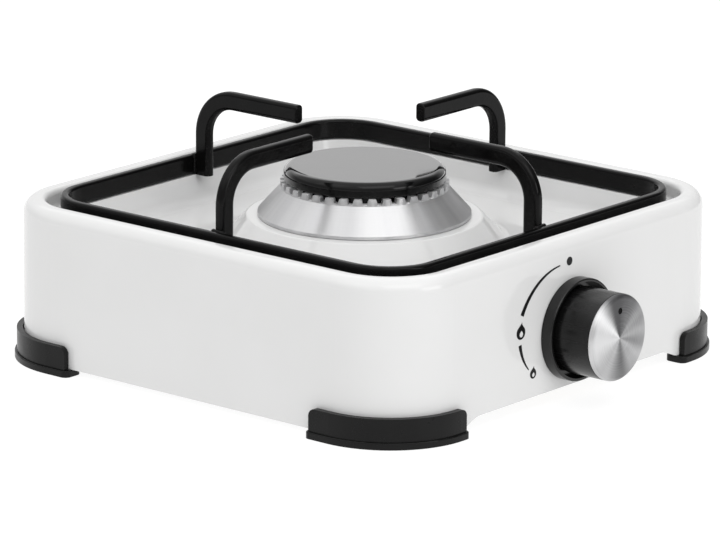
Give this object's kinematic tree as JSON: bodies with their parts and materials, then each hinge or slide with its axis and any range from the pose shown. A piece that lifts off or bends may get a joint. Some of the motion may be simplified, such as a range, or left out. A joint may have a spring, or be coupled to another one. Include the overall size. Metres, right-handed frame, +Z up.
{
  "type": "camping stove",
  "caption": "Table-top gas stove: square enamelled body with a recessed well, lift-off pan support, round burner with cap, front knob and rear hose nozzle.",
  "frame": {"origin": "centre of the body's footprint, on the surface the feet stand on", "axes": "+Z up, -Y towards the front panel with the knob, +X to the right seen from the front"},
  "size_m": [0.29, 0.3398, 0.1261],
  "materials": {
    "white_enamel": "gloss",
    "black_enamel": "gloss",
    "black_plastic": "satin",
    "cast_aluminium": "brushed",
    "spun_metal": "brushed",
    "zinc_steel": "satin",
    "brass": "satin",
    "printed_mark": "matte"
  },
  "bodies": {
    "base": {"body_shell": "white_enamel", "corner_feet": "black_plastic", "burner_cup": "cast_aluminium", "cup_screws": "zinc_steel", "cup_nuts": "zinc_steel", "mixing_tube": "zinc_steel", "tap_bonnet": "zinc_steel", "tap_body": "brass", "stem_spring": "zinc_steel", "tap_injector": "brass", "tap_screws": "zinc_steel", "gas_pipe": "zinc_steel", "union_nuts": "brass", "inlet_nozzle": "brass", "inlet_washer": "zinc_steel", "inlet_locknut": "zinc_steel", "pipe_clip": "zinc_steel", "knob_bezel": "black_plastic", "dial_marks": "printed_mark"},
    "pan_support": {"pan_frame": "black_enamel", "pan_fingers": "black_enamel", "pan_welds": "black_enamel"},
    "burner": {"burner_head": "cast_aluminium"},
    "cap": {"burner_cap": "black_enamel"},
    "plug": {"tap_plug": "brass"},
    "knob": {"knob_body": "black_plastic", "knob_disc": "spun_metal", "knob_pointer": "black_plastic", "knob_clip": "zinc_steel", "tap_stem": "zinc_steel"}
  },
  "joints": [
    {"name": "pan_support_lift", "type": "slide", "parent": "base", "child": "pan_support", "axis": [0, 0, 1], "range_m": [0, 0.04]},
    {"name": "burner_lift", "type": "slide", "parent": "base", "child": "burner", "axis": [0, 0, 1], "range_m": [0, 0.018]},
    {"name": "cap_lift", "type": "slide", "parent": "burner", "child": "cap", "axis": [0, 0, 1], "range_m": [0, 0.018]},
    {"name": "tap_turn", "type": "hinge", "parent": "base", "child": "plug", "pos_m": [0, -0.12, 0.0378], "axis": [0, -1, 0], "range_deg": [0, 120]},
    {"name": "knob_push", "type": "slide", "parent": "plug", "child": "knob", "axis": [0, 1, 0], "range_m": [0, 0.0025], "stiffness_N_per_m": 1000, "springref_m": -0.003}
  ]
}
